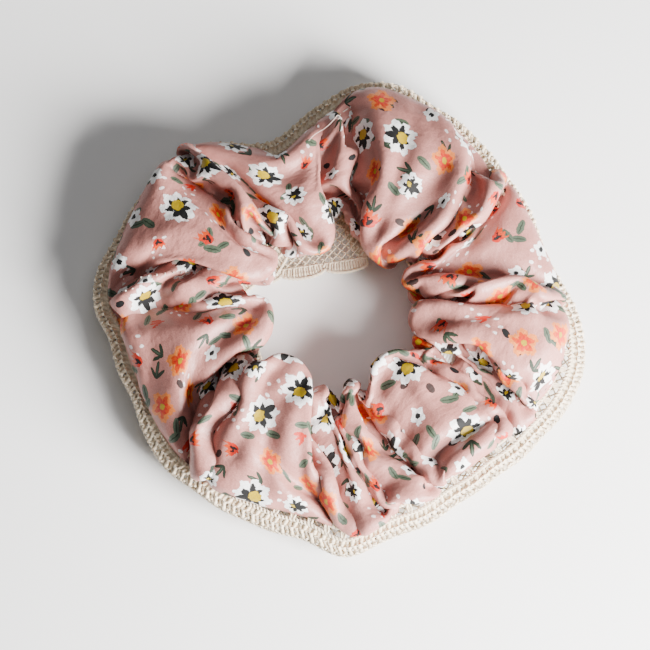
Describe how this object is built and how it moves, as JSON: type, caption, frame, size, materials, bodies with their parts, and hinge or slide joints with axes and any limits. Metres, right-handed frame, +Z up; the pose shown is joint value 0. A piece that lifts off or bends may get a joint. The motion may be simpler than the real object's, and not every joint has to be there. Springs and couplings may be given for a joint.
{
  "type": "scrunchie",
  "caption": "Round fabric hair scrunchie: a printed satin tube gathered on an elastic loop, with a crochet lace trim sewn into its outer seam and folded underneath.",
  "frame": {"origin": "centre of the ring, on the flat surface that the scrunchie lies on", "axes": "+Z up along the axis of the hair opening, +X along the line on which the ring is pulled open, +Y completes the frame"},
  "size_m": [0.115, 0.115, 0.02],
  "materials": {
    "satin": "dusty pink satin with a small printed floral",
    "lace": "cream cotton crochet lace",
    "elastic": "matte braided elastic",
    "thread": "matte cream sewing thread"
  },
  "bodies": {
    "left_half": {"cover_left": "satin", "lace_left": "lace", "elastic_band": "elastic", "elastic_stitches": "thread", "seam_stitches_left": "thread", "closing_stitches": "thread", "lace_join_stitches": "thread"},
    "right_half": {"cover_right": "satin", "lace_right": "lace", "seam_stitches_right": "thread"}
  },
  "joints": [
    {"name": "stretch", "type": "slide", "parent": "left_half", "child": "right_half", "axis": [1, 0, 0], "range_m": [0, 0.075], "stiffness_N_per_m": 40, "deforming": ["elastic_band"]}
  ]
}
